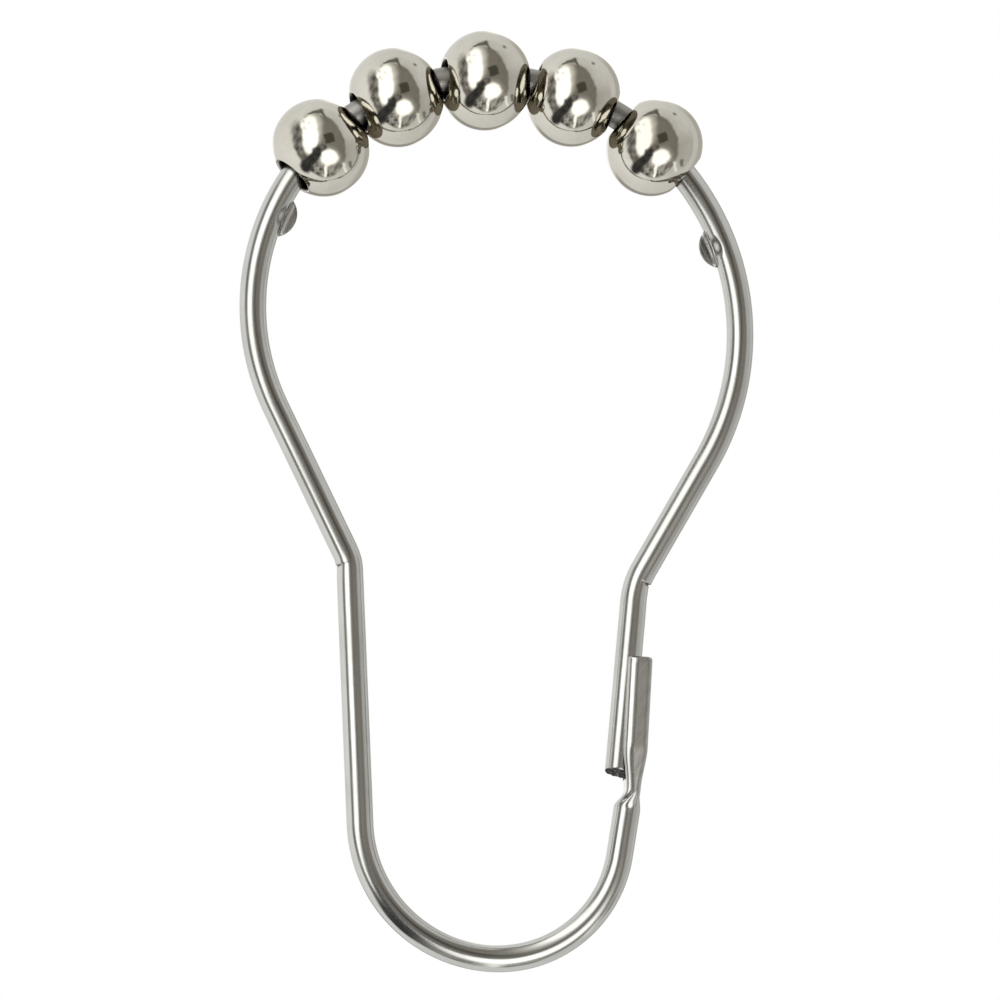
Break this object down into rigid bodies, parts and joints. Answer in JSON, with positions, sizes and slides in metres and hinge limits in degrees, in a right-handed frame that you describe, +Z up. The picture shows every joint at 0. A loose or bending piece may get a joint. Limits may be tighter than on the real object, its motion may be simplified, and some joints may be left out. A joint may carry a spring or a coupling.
{
  "type": "shower curtain ring",
  "caption": "Pear-shaped sprung wire ring with hollow balls strung on its top arc, coined stops and a pressed channel clasp; it hangs a shower curtain from a rod and rolls along it.",
  "frame": {"origin": "centre of the left ring arc under the balls, where the curtain rod passes", "axes": "+Z up as the ring hangs, with the balls at the top; the ring lies in the XZ plane; -Y is the front, with the clasp at the right"},
  "size_m": [0.0514, 0.01, 0.0941],
  "materials": {
    "wire_steel": "satin drawn and nickel-plated steel wire, matte where it is coined",
    "ball_plating": "polished nickel plating"
  },
  "bodies": {
    "wire": {"ring_wire": "wire_steel"},
    "ball_1": {"roller_ball_1": "ball_plating"},
    "ball_2": {"roller_ball_2": "ball_plating"},
    "ball_3": {"roller_ball_3": "ball_plating"},
    "ball_4": {"roller_ball_4": "ball_plating"},
    "ball_5": {"roller_ball_5": "ball_plating"}
  },
  "joints": [
    {"name": "ball_1_spin", "type": "hinge", "parent": "wire", "child": "ball_1", "pos_m": [-0.01641, 0, 0.01594], "axis": [0.6907, 0.1305, 0.7112], "continuous": true},
    {"name": "ball_2_spin", "type": "hinge", "parent": "wire", "child": "ball_2", "pos_m": [-0.00891, 0, 0.02107], "axis": [0.9142, 0.1219, 0.3865], "continuous": true},
    {"name": "ball_3_spin", "type": "hinge", "parent": "wire", "child": "ball_3", "pos_m": [0, 0, 0.02288], "axis": [0.9914, 0.1305, 0], "continuous": true},
    {"name": "ball_4_spin", "type": "hinge", "parent": "wire", "child": "ball_4", "pos_m": [0.00888, 0, 0.0213], "axis": [0.9358, 0.0349, -0.3508], "continuous": true},
    {"name": "ball_5_spin", "type": "hinge", "parent": "wire", "child": "ball_5", "pos_m": [0.01704, 0, 0.01631], "axis": [0.7392, -0.0175, -0.6733], "continuous": true}
  ]
}
